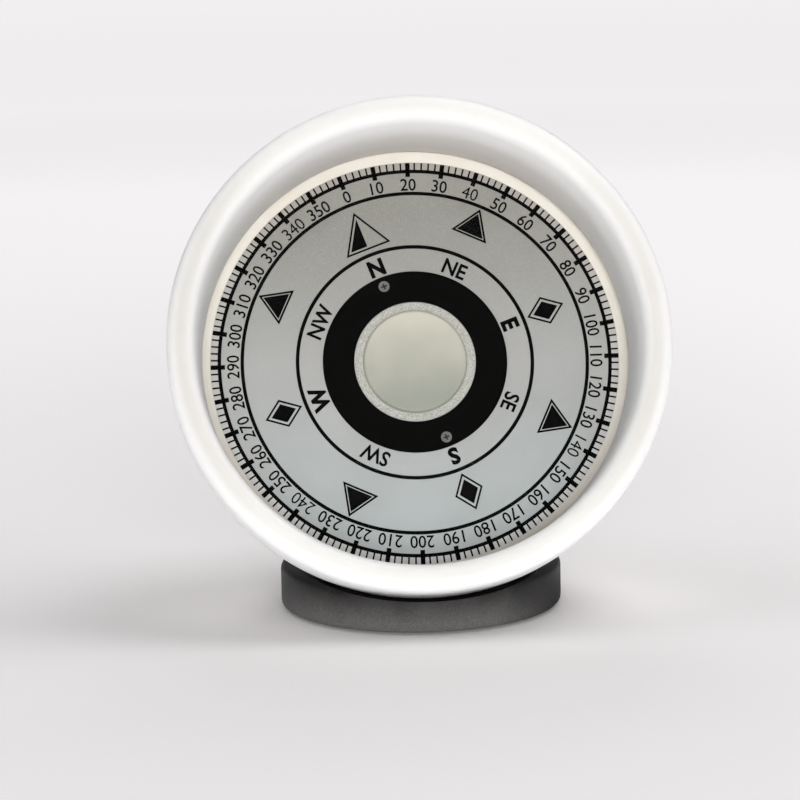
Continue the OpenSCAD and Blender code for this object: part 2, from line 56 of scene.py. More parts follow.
# %% The head's own frame
mm = 0.001
joints = {joint["name"]: joint for joint in frame["joints"]}
ball_middle = np.array(joints["head_tilt"]["pos_m"])
dial_axis = np.array(joints["card_turn"]["axis"])
dial_axis = dial_axis / np.linalg.norm(dial_axis)
across = np.array([1.0, 0.0, 0.0])
dial_up = np.cross(dial_axis, across)


def head_point(x, y, s):
    """Point of the head's frame, in mm, as metres of the world: middle plus x, y and s along its axes."""
    x, y, s = np.broadcast_arrays(x, y, s)
    return ball_middle + mm * (x[..., None] * across + y[..., None] * dial_up + s[..., None] * dial_axis)


def node_points(name):
    """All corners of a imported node, as an array of world points in metres."""
    mesh = frame["nodes"][name].data
    points = np.empty(len(mesh.vertices) * 3)
    mesh.vertices.foreach_get("co", points)
    return points.reshape(-1, 3)


def outline(name):
    """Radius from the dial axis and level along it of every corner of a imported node, in mm."""
    offset = (node_points(name) - ball_middle) / mm
    level = offset @ dial_axis
    return np.linalg.norm(offset - level[:, None] * dial_axis, axis=1), level


print("dial axis", dial_axis.round(3).tolist(), "up the dial", dial_up.round(3).tolist())

# %% [markdown]
# The card may lie at any bearing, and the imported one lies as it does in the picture. Its two rivets
# stand north and south of the middle, so the line through them shows how far north is turned.

# %% How the card lies
dial_level = outline("dial_plate")[1].max()
rivet_from_middle = node_points("dial_rivets") - ball_middle
rivet_x, rivet_y = rivet_from_middle @ across / mm, rivet_from_middle @ dial_up / mm
upper = rivet_y > 0
north_rivet, south_rivet = [(rivet_x[part].mean(), rivet_y[part].mean()) for part in (upper, ~upper)]
north_turn = np.degrees(np.arctan2(south_rivet[0] - north_rivet[0], north_rivet[1] - south_rivet[1]))
print("dial level", round(dial_level, 2), "mm, north turned", round(north_turn, 2), "degrees to the left")

# %% [markdown]
# A photograph is matched by its camera first. A long lens far away keeps the round lip nearly round,
# as in a product picture. The lens, the place and the small roll were solved from the outline of the
# head, the circle of the card and the foot of the puck.

# %% Camera
camera_place = (-0.031144, -0.599031, 0.142753)
yaw, pitch, roll = 0.04662, 0.17329, -0.01946
camera_data = bpy.data.cameras.new("camera")
camera_data.sensor_width = 36
camera_data.lens = 150.81
camera_data.clip_start, camera_data.clip_end = 0.01, 30
camera = bpy.data.objects.new("camera", camera_data)
bpy.context.scene.collection.objects.link(camera)
forward = np.array([np.sin(yaw) * np.cos(pitch), np.cos(yaw) * np.cos(pitch), -np.sin(pitch)])
level_right = np.array([np.cos(yaw), -np.sin(yaw), 0.0])
level_up = np.cross(level_right, forward)
right = level_right * np.cos(roll) + level_up * np.sin(roll)
up = level_up * np.cos(roll) - level_right * np.sin(roll)
pose = np.eye(4)
pose[:3, 0], pose[:3, 1], pose[:3, 2], pose[:3, 3] = right, up, -forward, camera_place
camera.matrix_world = Matrix(pose.tolist())
bpy.context.scene.camera = camera
bpy.context.scene.view_settings.view_transform = "Standard"
print("camera", round(camera_data.lens, 1), "mm lens")

# %% [markdown]
# Shader trees read best as sums. Wire wraps one output of a node, and its operators add the Math
# nodes that a sum needs, so 0.5 + 0.2 * grain is a few signs of Python and adds two nodes to the tree.
# Colours go through Mix nodes and vectors through Vector Math, because a Math node would turn a colour
# grey. Finish holds the tree itself and has a short word for each node that is needed often. What it
# shows is kept in finishes under its name.

# %% Shader arithmetic
finishes = {}


def kind_of(value):
    """What a value is to a shader: a wire knows its own kind, a tuple is a colour, the rest are numbers."""
    if isinstance(value, Wire):
        return value.socket.type
    return "RGBA" if isinstance(value, tuple) else "VALUE"


class Wire:
    """One output socket of a finish, used in sums like a number, a colour or a vector."""

    def __init__(self, finish, socket):
        self.finish, self.socket = finish, socket

    def pair(self, operation, other, swap=False):
        """Joins two values by the node that suits their kinds: Mix, Vector Math or Math."""
        pair = (other, self) if swap else (self, other)
        kinds = [kind_of(value) for value in pair]
        if "RGBA" in kinds:
            first, second = [v if isinstance(v, (Wire, tuple)) else (v, v, v, 1) for v in pair]
            return self.finish.node("Mix", {"data_type": "RGBA", "blend_type": operation},
                                    {0: 1.0, 6: first, 7: second}, out=2)
        if "VECTOR" in kinds:
            first, second = [v if isinstance(v, Wire) else (v, v, v) for v in pair]
            return self.finish.node("VectorMath", {"operation": operation}, {0: first, 1: second})
        return self.finish.node("Math", {"operation": operation}, {0: pair[0], 1: pair[1]})

    def __add__(self, other):
        return self.pair("ADD", other)

    def __radd__(self, other):
        return self.pair("ADD", other, swap=True)

    def __sub__(self, other):
        return self.pair("SUBTRACT", other)

    def __rsub__(self, other):
        return self.pair("SUBTRACT", other, swap=True)

    def __mul__(self, other):
        return self.pair("MULTIPLY", other)

    def __rmul__(self, other):
        return self.pair("MULTIPLY", other, swap=True)


class Finish:
    """One material, or the room's light. node adds any shader node and gives its output back as a Wire."""

    def __init__(self, name, family=bpy.data.materials, ending="ShaderNodeOutputMaterial"):
        self.name = name
        self.owner = family.new(name)
        self.owner.use_nodes = True
        self.tree = self.owner.node_tree
        self.tree.nodes.clear()
        self.ending = ending

    def node(self, kind, settings=None, values=None, out=0):
        """Adds a node: its settings come first, then the values or links of its sockets."""
        made = self.tree.nodes.new("ShaderNode" + kind)
        for key, value in (settings or {}).items():
            if key == "stops":
                ramp = made.color_ramp
                while len(ramp.elements) < len(value):
                    ramp.elements.new(1)
                for element, (place, grey) in zip(ramp.elements, value):
                    element.position, element.color = place, (grey, grey, grey, 1)
            else:
                setattr(made, key, value)
        for key, value in (values or {}).items():
            if isinstance(value, Wire):
                self.tree.links.new(value.socket, made.inputs[key])
            else:
                made.inputs[key].default_value = value
        return Wire(self, made.outputs[out])

    def math(self, operation, *values):
        """A Math node that Python has no sign for, such as ABSOLUTE or MAXIMUM."""
        return self.node("Math", {"operation": operation}, dict(enumerate(values)))

    def place(self):
        """The point of the surface, in metres of the part's own frame."""
        return self.node("TexCoord", out=3)

    def coordinate(self, axis):
        """How far along x, y or z (0, 1 or 2) the point of the surface is, in mm."""
        return self.node("SeparateXYZ", None, {0: self.place()}, out=axis) * 1000.0

    def grain(self, size, detail, stretch=None):
        """Noise around 0.5 whose blobs are about size mm wide."""
        where = self.place()
        if stretch:
            where = self.node("Mapping", {"vector_type": "POINT"}, {"Vector": where, "Scale": stretch})
        return self.node("TexNoise", {"noise_dimensions": "3D"},
                         {"Vector": where, "Scale": 1000 / size, "Detail": detail})

    def fade(self, value, start, end, low=0.0, high=1.0, smooth=False):
        """Goes from low to high while the value goes from start to end, and stays level outside them."""
        return self.node("MapRange", {"interpolation_type": "SMOOTHSTEP" if smooth else "LINEAR"},
                         {"Value": value, "From Min": start, "From Max": end, "To Min": low, "To Max": high})

    def step(self, value, edge, soft=0.1):
        """0 below the edge and 1 above it, over a soft width on either side."""
        return self.fade(value, edge - soft, edge + soft, smooth=True)

    def between(self, low, high, share):
        """The colour that lies share of the way from low to high."""
        return self.node("Mix", {"data_type": "RGBA"}, {0: share, 6: low, 7: high}, out=2)

    def ramp(self, value, *stops):
        """A grey ramp over a value: pairs of place and brightness."""
        return self.node("ValToRGB", {"stops": stops}, {0: value})

    def bump(self, height, depth):
        """Normal of a surface whose height wanders by depth mm."""
        return self.node("Bump", None, {"Strength": 1.0, "Distance": depth * mm, "Height": height})

    def skin(self, **sockets):
        """The Principled shader, its sockets named with underscores for spaces."""
        named = {key.replace("_", " "): value for key, value in sockets.items()}
        return self.node("BsdfPrincipled", None, named)

    def show(self, surface):
        """Ends the tree, with this shader as what the surface shows, and keeps the finish by its name."""
        ending = self.tree.nodes.new(self.ending)
        self.tree.links.new(surface.socket, ending.inputs["Surface"])
        finishes[self.name] = self.owner
        return self.owner


def tint(red, green, blue):
    """A colour as it is read off a picture, 0 to 255, as the linear colour that a shader wants."""
    share = np.array([red, green, blue]) / 255
    linear = np.where(share <= 0.04045, share / 12.92, ((share + 0.055) / 1.055) ** 2.4)
    return tuple(float(v) for v in linear) + (1.0,)


print("grey 188 of 255 sends back", round(tint(188, 188, 188)[0], 2), "of the light")

# %% [markdown]
# Most pieces are turned or moulded and differ in three things: how far their colour wanders, how
# shiny they are, and how deep the grain of the tool is. One recipe with those numbers makes all the
# plain finishes, and each still has its own grain, wear and shine. The white plastic also lets light
# in and out again a few millimetres further on, which softens the shade in the hollow of the lip.

# %% Recipe for a moulded finish
wandering = ((0.3, 0.0), (0.7, 1.0))


def moulded(name, dark, light, patch, shine, shine_spread, grain_size, grain_depth, **plain):
    """Colour wanders between dark and light in patches of patch mm; roughness is shine plus or minus its
    spread; the surface carries a grain of grain_size mm, grain_depth mm deep."""
    finish = Finish(name)
    cloud = finish.grain(patch, 3)
    fine = finish.grain(grain_size, 4)
    colour = finish.between(dark, light, finish.ramp(cloud, *wandering))
    rough = shine + shine_spread * (cloud + fine - 1.0)
    tooled = finish.bump(fine, grain_depth)
    finish.show(finish.skin(Base_Color=colour, Roughness=rough, Normal=tooled, **plain))


milky_white = {"Specular_IOR_Level": 0.35, "Subsurface_Weight": 1.0, "Subsurface_Scale": 0.007,
               "Subsurface_Radius": (1.0, 1.0, 1.0)}
moulded("white_plastic", tint(248, 245, 241), tint(252, 250, 247), 22, 0.42, 0.06, 0.6, 0.006,
        **milky_white)
moulded("ivory_plastic", tint(247, 241, 229), tint(252, 248, 239), 5, 0.5, 0.08, 0.25, 0.02,
        Specular_IOR_Level=0.15)
moulded("knob_plastic", tint(16, 15, 15), tint(25, 24, 24), 4, 0.5, 0.1, 0.2, 0.03)
moulded("white_silicone", tint(226, 223, 218), tint(234, 232, 228), 4, 0.5, 0.06, 0.3, 0.01)
moulded("rubber", tint(24, 24, 24), tint(36, 35, 34), 3, 0.72, 0.1, 0.2, 0.02)
moulded("foam_tape", tint(52, 51, 49), tint(70, 68, 66), 1.2, 0.9, 0.08, 0.3, 0.12)
moulded("nylon", tint(214, 210, 196), tint(228, 225, 214), 3, 0.45, 0.08, 0.3, 0.01)
moulded("magnet_steel", tint(64, 64, 66), tint(88, 88, 90), 2, 0.48, 0.12, 0.15, 0.02, Metallic=0.8)
moulded("jewel_glass", tint(150, 20, 40), tint(190, 40, 60), 1, 0.08, 0.02, 0.3, 0.001)
print(len(finishes), "moulded finishes")

# %% [markdown]
# The puck is black plastic that stands on the dashboard. Its foot carries a painted grey sheen, a
# painted reflection of the pale table, which thins out upwards, so the sheen is a matter of height,
# broken up by a little noise. Towards its right end, which turns away from the light, the sheen
# fades out into painted shade.

# %% Black plastic with a painted sheen at its foot
sheen_full_below, sheen_gone_above, right_shade_from, right_shade_to = 2.0, 7.5, 12.0, 24.0
black = Finish("black_plastic")
fine = black.grain(0.35, 4)
height, sideways = black.coordinate(2), black.coordinate(0)
# painted reflection of the table: grey at the foot, thinning out upwards
table_sheen_painted = black.fade(height + 3.0 * (black.grain(6, 3) - 0.5), sheen_gone_above, sheen_full_below)
# painted shade: the grey sheen fades out towards the right end
sheen_fade_to_right_shade = black.fade(sideways, right_shade_from, right_shade_to, 1.0, 0.12)
bare = black.between(tint(11, 10, 10), tint(19, 18, 18), black.ramp(black.grain(9, 3), *wandering))
black.show(black.skin(
    Base_Color=black.between(bare, tint(98, 97, 96), table_sheen_painted * sheen_fade_to_right_shade * (0.4 + 0.9 * fine)),
    Roughness=0.45 + 0.3 * table_sheen_painted + 0.1 * (fine - 0.5), Normal=black.bump(fine, 0.03), Specular_IOR_Level=0.2))
print("dust thins out from", sheen_full_below, "to", sheen_gone_above, "mm above the table")

# %% [markdown]
# Turned metal shows fine rings from the tool and stamped metal shows the roller's streaks. Noise that
# is squeezed hard along one direction gives those streaks. Brass also keeps darker patches where it
# has been touched.

# %% Recipe for worked metal


def worked(name, dark, light, patch, shine, streak, stretch, depth):
    """Metal whose colour wanders between dark and light, with streaks of streak mm squeezed by stretch."""
    finish = Finish(name)
    cloud = finish.grain(patch, 3)
    streaks = finish.grain(streak, 3, stretch)
    colour = finish.between(dark, light, finish.ramp(cloud, *wandering))
    rough = shine + 0.16 * (streaks - 0.5)
    tooled = finish.bump(streaks, depth)
    finish.show(finish.skin(Base_Color=colour, Roughness=rough, Metallic=1.0, Normal=tooled))


worked("brass", tint(172, 140, 82), tint(214, 184, 122), 3, 0.32, 0.4, (1, 1, 6), 0.004)
worked("stainless", tint(168, 168, 166), tint(198, 198, 196), 3, 0.3, 0.3, (1, 6, 1), 0.004)
worked("aluminium", tint(176, 178, 180), tint(198, 200, 202), 6, 0.4, 0.4, (1, 8, 1), 0.005)
print(len(finishes), "finishes with the metals")

# %% [markdown]
# Paint on the head follows the head's frame: how far a spot is from the dial's axis, how deep it lies
# along it, and how far up the dial it is. Each starts from the offset between the surface and the
# middle of the ball. Its dot product with an axis is the share along that axis, and the length of its
# cross product with the dial's axis is the distance from that axis.

# %% Places on the head, for the finishes
paint_radius = 40.0


def from_ball_middle(finish):
    """Offset of the surface from the middle of the ball, in mm."""
    metres = finish.node("VectorMath", {"operation": "SUBTRACT"}, {0: finish.place(), 1: tuple(ball_middle)})
    return metres * 1000.0


def along(finish, axis):
    """How far the surface lies from the middle of the ball along an axis, in mm."""
    return finish.node("VectorMath", {"operation": "DOT_PRODUCT"},
                       {0: from_ball_middle(finish), 1: tuple(axis)}, out=1)


def from_axis(finish):
    """How far the surface lies from the dial's axis, in mm."""
    crossed = finish.node("VectorMath", {"operation": "CROSS_PRODUCT"},
                          {0: from_ball_middle(finish), 1: tuple(dial_axis)})
    return finish.node("VectorMath", {"operation": "LENGTH"}, {0: crossed}, out=1)


def up_the_dial(finish):
    """How far up the dial a point is: 0 at the bottom edge of a dial of paint_radius and 1 at its top."""
    return along(finish, dial_up) * (0.5 / paint_radius) + 0.5


print("paint radius", paint_radius, "mm")

# %% [markdown]
# The dial plate is the piece that a viewer looks at longest. It is silvered metal, a touch lighter in
# the ring of degree marks and behind the numbers and letters, with the sparkling fine grain that
# silver screen ink has. Printed rings part those bands, so the paint changes in their shelter. The
# paint carries painted shade from the lip: it goes from a cool pale grey below to a warm darker one
# above. The ring of degree marks goes from a painted highlight at the bottom to painted shade at
# the top.

# %% Silver of the dial plate
scale_ring, number_ring = (35.5, 36.14), (31.32, 31.96)
letter_ring, annulus = (21.2, 21.86), (11.15, 16.92)
silver = Finish("dial_metal")
reach, height = from_axis(silver), up_the_dial(silver)
sparkle, cloud = silver.grain(0.16, 2), silver.grain(14, 2)
tick_band = silver.step(reach, sum(scale_ring) / 2)
number_band = silver.step(reach, sum(number_ring) / 2) - tick_band
letter_band = 1.0 - silver.step(reach, sum(letter_ring) / 2)
# painted shade: darker and warmer up the dial, where the lip shades the plate
painted_shade_to_middle, painted_shade_to_top = silver.ramp(height, (0.1, 0.0), (0.5, 1.0)), silver.ramp(height, (0.5, 0.0), (0.85, 1.0))
paint = silver.between(tint(208, 217, 217), tint(197, 198, 196), painted_shade_to_middle)
paint = silver.between(paint, tint(159, 158, 149), painted_shade_to_top)
paint = silver.between(paint, tint(178, 179, 177), 0.25 * silver.ramp(cloud, (0.35, 0.0), (0.65, 1.0)))
paint = silver.between(paint, tint(214, 208, 200), 0.12 * number_band + 0.12 * letter_band)
# painted light and shade in the tick band: pale at the bottom, darker at the top
tick_band_shade_share = silver.ramp(height, (0.15, 0.0), (0.9, 1.0))
tick_band_painted_light = silver.between(tint(248, 247, 244), tint(200, 194, 186), tick_band_shade_share)
paint = silver.between(paint, tick_band_painted_light, 0.85 * tick_band)
paint = silver.between(paint, tint(214, 214, 210), silver.ramp(sparkle, (0.52, 0.0), (0.75, 0.6)))
silver.show(silver.skin(
    Base_Color=paint, Metallic=0.35, Roughness=0.42 + 0.2 * (sparkle - 0.5),
    Normal=silver.bump(sparkle, 0.012), Specular_IOR_Level=0.15))
print("silver, with the tick band outside", scale_ring[1], "mm")

# %% [markdown]
# The middle of the card is a milky boss in a speckled seat. The seat is the paler rough ring between
# the boss and the black annulus, and a thin painted shadow line marks where the boss rises out of it.
# The boss has a painted sheen: it is paler at its top and darker at its bottom.

# %% Milky boss
shadow_line_r, seat_r, edge_soft = 9.42, 9.62, 0.06
milk = Finish("milky_plastic")
reach = from_axis(milk)
speck = milk.grain(0.22, 3)
seat = milk.step(reach, seat_r, edge_soft)
# painted shadow line at the foot of the boss
painted_shadow_line = milk.step(reach, shadow_line_r, edge_soft) * (1.0 - seat)
cloud = 0.16 * (milk.grain(9, 2) - 0.5)
# painted sheen: the boss is paler towards its top and darker towards its bottom
body = milk.between(tint(162, 165, 154), tint(209, 206, 192),
                    milk.ramp(up_the_dial(milk) + cloud, (0.4, 0.0), (0.62, 1.0)))
rim = milk.between(tint(160, 160, 152), tint(214, 213, 206), milk.ramp(speck, (0.35, 0.0), (0.65, 1.0)))
paint = milk.between(milk.between(body, rim, seat), tint(150, 150, 140), 0.35 * painted_shadow_line)
milk.show(milk.skin(
    Base_Color=paint, Roughness=0.36 + 0.2 * seat + 0.1 * (speck - 0.5), Normal=milk.bump(speck * seat, 0.03),
    Specular_IOR_Level=0.2))
print("seat from", seat_r, "mm outwards")

# %% [markdown]
# The cover is clear and thin. What one sees of it is only the shine of its two faces, so its shader is
# nothing at all mixed with a mirror, and Fresnel says how much mirror there is at each angle. Light
# passes through it to the dial, which full glass would not allow without a lot of noise.

# %% Clear cover
clear = Finish("clear_cover")
mirror = clear.skin(Base_Color=(1, 1, 1, 1), Metallic=1.0, Roughness=0.03 + 0.02 * clear.grain(3, 2))
nothing = clear.node("BsdfTransparent", None, {"Color": (1, 1, 1, 1)})
shine = clear.node("Fresnel", None, {"IOR": 1.09})
clear.show(clear.node("MixShader", None, {0: shine, 1: nothing, 2: mirror}))
print("cover shader mixed by Fresnel")

# %% [markdown]
# Printing ink is black, a little glossier than the plate, and never quite even.

# %% Printing ink
ink = Finish("dial_ink")
mottle = ink.grain(0.3, 3)
ink.show(ink.skin(
    Base_Color=ink.between(tint(4, 4, 4), tint(11, 11, 10), mottle), Roughness=0.4 + 0.15 * (mottle - 0.5),
    Normal=ink.bump(mottle, 0.006), Specular_IOR_Level=0.05))
print("ink ready")

# %% [markdown]
# The lip ring is the same white plastic. Outside, its colour carries painted shade: the crest is
# painted darker than its outer round, where the light falls off, and darkest at its sides. The
# funnel is clean white near the lip, and has painted shade towards the card at the top, where the
# lip shades it. How deep a spot lies and how far it is from the face's axis tell which it is.

# %% White plastic of the lip ring
funnel_r, dull_within, bright_beyond = 40.9, 42.4, 44.9
shade_from_level, shade_full_level = 3.3, -8.5
lip_paint = Finish("lip_plastic")
level, reach = along(lip_paint, dial_axis), from_axis(lip_paint)
cloud, fine = lip_paint.grain(22, 3), lip_paint.grain(0.6, 4)
funnel = 1.0 - lip_paint.step(reach, funnel_r, 0.8)
# painted shade: the crest is darker than the outer round beyond it
crest_painted_shade = 1.0 - lip_paint.fade(reach, dull_within, bright_beyond, smooth=True)
# painted shade at the sides of the crest
sides_painted_shade = lip_paint.fade(lip_paint.math("ABSOLUTE", lip_paint.coordinate(0)), 24.0, 41.0, smooth=True)
dull = lip_paint.between(tint(228, 226, 221), tint(213, 210, 205), sides_painted_shade)
outside = lip_paint.between(tint(250, 249, 246), dull, crest_painted_shade * (0.85 + 0.3 * (cloud - 0.5)))
# painted shade in the funnel, deeper towards the card and up the dial
recess_painted_shade = lip_paint.fade(level, shade_from_level, shade_full_level) * lip_paint.fade(up_the_dial(lip_paint), 0.5, 1.0)
inside = lip_paint.between(tint(253, 251, 249), tint(212, 204, 198), recess_painted_shade)
lip_paint.show(lip_paint.skin(
    Base_Color=lip_paint.between(outside, inside, funnel), Roughness=0.42 + 0.06 * (cloud + fine - 1.0),
    Normal=lip_paint.bump(fine, 0.006), **milky_white))
print("lip dull within", dull_within, "mm of the axis and bright beyond", bright_beyond)

# %% [markdown]
# Two rivets hold the dial plate. Each was closed with a crossed punch, which leaves a dark cross in a
# grey head. The rivets sit north and south of the middle, so the distance along that line, with its
# sign dropped, serves both of them.

# %% Punched rivets
turn = np.radians(north_turn)
north_axis = -np.sin(turn) * across + np.cos(turn) * dial_up
east_axis = np.cos(turn) * across + np.sin(turn) * dial_up
rivet_r = float(np.mean([np.hypot(*north_rivet), np.hypot(*south_rivet)]))
arm_half, arm_length = 0.16, 0.55
punched = Finish("punched_rivet")
lengthwise = punched.math("ABSOLUTE", punched.math("ABSOLUTE", along(punched, north_axis)) - rivet_r)
crosswise = punched.math("ABSOLUTE", along(punched, east_axis))
on_arm = 1.0 - punched.step(punched.math("MINIMUM", lengthwise, crosswise), arm_half, 0.08)
cross = on_arm * (1.0 - punched.step(punched.math("MAXIMUM", lengthwise, crosswise), arm_length))
rough = punched.grain(0.3, 3)
steel = punched.between(tint(120, 119, 118), tint(168, 167, 165), rough)
punched.show(punched.skin(
    Base_Color=punched.between(steel, tint(38, 38, 38), 0.9 * cross), Metallic=0.6,
    Roughness=0.5 + 0.1 * (rough - 0.5), Normal=punched.bump(1.0 - cross, 0.08), Specular_IOR_Level=0.3))
print("rivets at", round(rivet_r, 2), "mm")

# %% [markdown]
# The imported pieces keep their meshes. Each names a material slot in the record, so the finishes go on
# by that name. Two pieces have a look of their own within their slot.

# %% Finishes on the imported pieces
special = {"dome_gasket": "white_silicone", "dial_rivets": "punched_rivet"}
for name, piece in frame["nodes"].items():
    slot_name = piece.data.materials[0].name.split(".")[0]
    piece.data.materials[0] = finishes[special.get(name, slot_name)]
print("finished", len(frame["nodes"]), "packed pieces")

# %% [markdown]
# A turned piece is a profile carried round an axis. The profile is a list of radius and level, and
# the grid is that profile times a ring of angles, worked out as whole arrays. Every profile closes on
# itself. One that touches the axis gives double corners there, and merging them closes the pole.

# %% Mesh helpers
crease = np.radians(30)
merge_distance = 1e-7


def finished(name, mesh, finish, body):
    """Merges double corners, shades smooth up to a crease, adds the finish and rides the piece on a body."""
    work = bmesh.new()
    work.from_mesh(mesh)
    bmesh.ops.remove_doubles(work, verts=work.verts, dist=merge_distance)
    bmesh.ops.recalc_face_normals(work, faces=work.faces)
    work.to_mesh(mesh)
    work.free()
    mesh.shade_smooth()
    mesh.set_sharp_from_angle(angle=crease)
    mesh.materials.clear()
    mesh.materials.append(finish)
    piece = bpy.data.objects.new(name, mesh)
    bpy.context.scene.collection.objects.link(piece)
    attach(piece, body)
    return piece


def arc(middle_r, middle_s, radius, start, end, count):
    """Points on a circle in the profile plane, from start to end degrees."""
    angle = np.radians(np.linspace(start, end, count))
    return np.stack([middle_r + radius * np.cos(angle), middle_s + radius * np.sin(angle)], -1)


def turned(name, profile, finish, body, columns=256):
    """Revolves a closed profile of (radius, level) round the dial axis: x = r cos a, y = r sin a, s = level.
    Each quad joins a corner to the next one round the axis and to the next one along the profile."""
    profile = np.concatenate([np.atleast_2d(part) for part in profile])
    angle = np.linspace(0, 2 * np.pi, columns, endpoint=False)
    radius, level = profile[:, :1], profile[:, 1:]
    points = head_point(radius * np.cos(angle), radius * np.sin(angle), level + 0 * angle)
    index = np.arange(len(profile) * columns).reshape(-1, columns)
    above = np.roll(index, -1, 0)
    quads = np.stack([index, np.roll(index, -1, 1), np.roll(above, -1, 1), above], -1)
    mesh = bpy.data.meshes.new(name)
    mesh.from_pydata(points.reshape(-1, 3).tolist(), [], quads.reshape(-1, 4).tolist())
    return finished(name, mesh, finish, body)


print("creases from", round(np.degrees(crease)), "degrees")

# %% [markdown]
# The lip ring is the big white funnel in front. It was moulded and screws onto the bowl, so its
# outside carries on the ball, and its mouth runs straight down to the cover. A lathe profile with its
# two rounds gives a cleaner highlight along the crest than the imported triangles. The lathe's circle is
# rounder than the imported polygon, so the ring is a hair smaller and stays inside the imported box.

# %% Lip ring
hair, touch = 0.025, 0.01
ring_r, ring_s = outline("front_ring")
ball_r = float(np.linalg.norm(node_points("bowl") - ball_middle, axis=1).max() / mm) - hair
mouth_r, mouth_s = ring_r.min(), ring_s.min()
collar_in = ring_r[ring_s < mouth_s + touch].max()
collar_top = ring_s[(ring_r < collar_in + touch) & (ring_r > collar_in - touch)].max()
at_collar_top = (ring_s > collar_top - touch) & (ring_s < collar_top + touch)
collar_out = ring_r[at_collar_top & (ring_r < ball_r - 1)].max()
split, straight, outer_round, inner_round, inner_depth = -10.0, 5.0, 3.2, 1.9, 4.0
crest_r = ball_r - outer_round
wall_top = straight + outer_round - inner_depth
down = np.linspace(0, 1, 14)[1:, None]
oval = (arc(0, 0, 1, 90, 180, 21) * (inner_round, inner_depth)) + (crest_r, wall_top)
lip = turned("lip_ring", [
    oval,
    oval[-1:] * (1 - down) + np.array([[mouth_r, mouth_s]]) * down,
    [[collar_in, mouth_s], [collar_in, collar_top], [collar_out, collar_top], [collar_out, split]],
    arc(0, 0, ball_r, np.degrees(np.arcsin(split / ball_r)), 0, 15),
    [[ball_r, straight / 2]],
    arc(crest_r, straight, outer_round, 0, 90, 25)[:-1],
], finishes["lip_plastic"], "head", columns=320)
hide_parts("front_ring")
print("lip ring", len(lip.data.polygons), "faces, ball radius", round(ball_r, 2), "mouth", round(mouth_r, 2))

# %% [markdown]
# The card is a plain ivory disc. On the real compass the liquid lifts and enlarges it a little, so
# hardly any gap shows around its edge. There is no liquid here, so the disc is turned again from the
# packed one's sizes with its edge eased and 0.3 mm nearer to the wall.

# %% Ivory card
growth, edge_round = 0.3, 0.2
float_r, float_s = outline("card_float")
edge_r, hole_r, low, top = float_r.max() + growth, float_r.min(), float_s.min(), float_s.max()
ivory_card = turned("ivory_card", [
    [[hole_r, top], [hole_r, low], [edge_r, low]],
    arc(edge_r - edge_round, top - edge_round, edge_round, 0, 90, 6),
], finishes["ivory_plastic"], "card")
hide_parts("card_float")
print("ivory card", len(ivory_card.data.polygons), "faces, radius", round(edge_r, 2))

# %% [markdown]
# The cover is a shallow clear cap with a flat flange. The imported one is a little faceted, and a
# mirror-like piece shows that, so it is turned again from the two spheres of its faces. A sphere that
# rises h over a circle of radius a has the radius (a a + h h) / 2 h.

# %% Cover
cover_gap, cover_wall = 0.4, 1.6
cover_out_r, cover_out_s = outline("dome")
flange_r, flange_low = cover_out_r.max(), cover_out_s.min()
foot_r, rise = mouth_r - cover_gap, cover_out_s.max() - mouth_s
cover_r = (foot_r ** 2 + rise ** 2) / (2 * rise)
cover_s = mouth_s + rise - cover_r
inner_r = cover_r - cover_wall
cover = turned("cover", [
    arc(0, cover_s, cover_r, 90, np.degrees(np.arccos(foot_r / cover_r)), 48),
    [[flange_r, mouth_s], [flange_r, flange_low]],
    arc(0, cover_s, inner_r, np.degrees(np.arcsin((flange_low - cover_s) / inner_r)), 90, 48),
], finishes["clear_cover"], "head", columns=192)
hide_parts("dome")
print("cover", len(cover.data.polygons), "faces, sphere radius", round(cover_r, 1))

# %% [markdown]
# The dial is screen printed, and the ink stands a hair above the plate. Its rings and bars are flat
# shapes with a real thickness, so they stay solid from every side. North on the plate is turned to
# the left of the head's top, and bearings run clockwise from it.

# %% Print helpers
ink_t = 0.03


def on_dial(bearing, radius, sideways):
    """Place on the dial, in mm: radius along a bearing, then sideways along the clockwise tangent."""
    turn = np.radians(north_turn - bearing)
    x = -radius * np.sin(turn) + sideways * np.cos(turn)
    y = radius * np.cos(turn) + sideways * np.sin(turn)
    return x, y


def printed_ring(name, radii, thick=ink_t):
    """A flat ring round the dial axis, from its inner to its outer radius."""
    (inner, outer), top = radii, dial_level + thick
    profile = [[[inner, dial_level], [inner, top], [outer, top], [outer, dial_level]]]
    return turned(name, profile, finishes["dial_ink"], "card", columns=360)


def printed_plates(name, outlines):
    """Plates of ink, one for each closed outline of (x, y): the outline at two levels and a wall between."""
    verts, faces, count = [], [], 0
    for x_y in outlines:
        n = len(x_y)
        levels = [head_point(x_y[:, 0], x_y[:, 1], level) for level in (dial_level, dial_level + ink_t)]
        verts.append(np.concatenate(levels))
        near = np.arange(n)
        far = np.roll(near, -1)
        faces += (np.stack([near, far, far + n, near + n], -1) + count).tolist()
        faces += [(near[::-1] + count).tolist(), (near + n + count).tolist()]
        count += 2 * n
    mesh = bpy.data.meshes.new(name)
    mesh.from_pydata(np.concatenate(verts).tolist(), [], faces)
    return finished(name, mesh, finishes["dial_ink"], "card")


print("ink", ink_t, "mm thick")

# %% [markdown]
# The degree scale comes first: a ring, a thin mark each two degrees outside it, and a heavy mark each
# ten degrees that crosses it. Two more rings part the numbers and the letters from the rest, and a
# broad black one surrounds the boss.

# %% Degree scale


def bar(bearing, inner, outer, width):
    """The four corners of a radial bar at a bearing."""
    radius, side = np.array([inner, inner, outer, outer]), np.array([-1, 1, 1, -1])
    return np.stack(on_dial(bearing, radius, side * width / 2), -1)


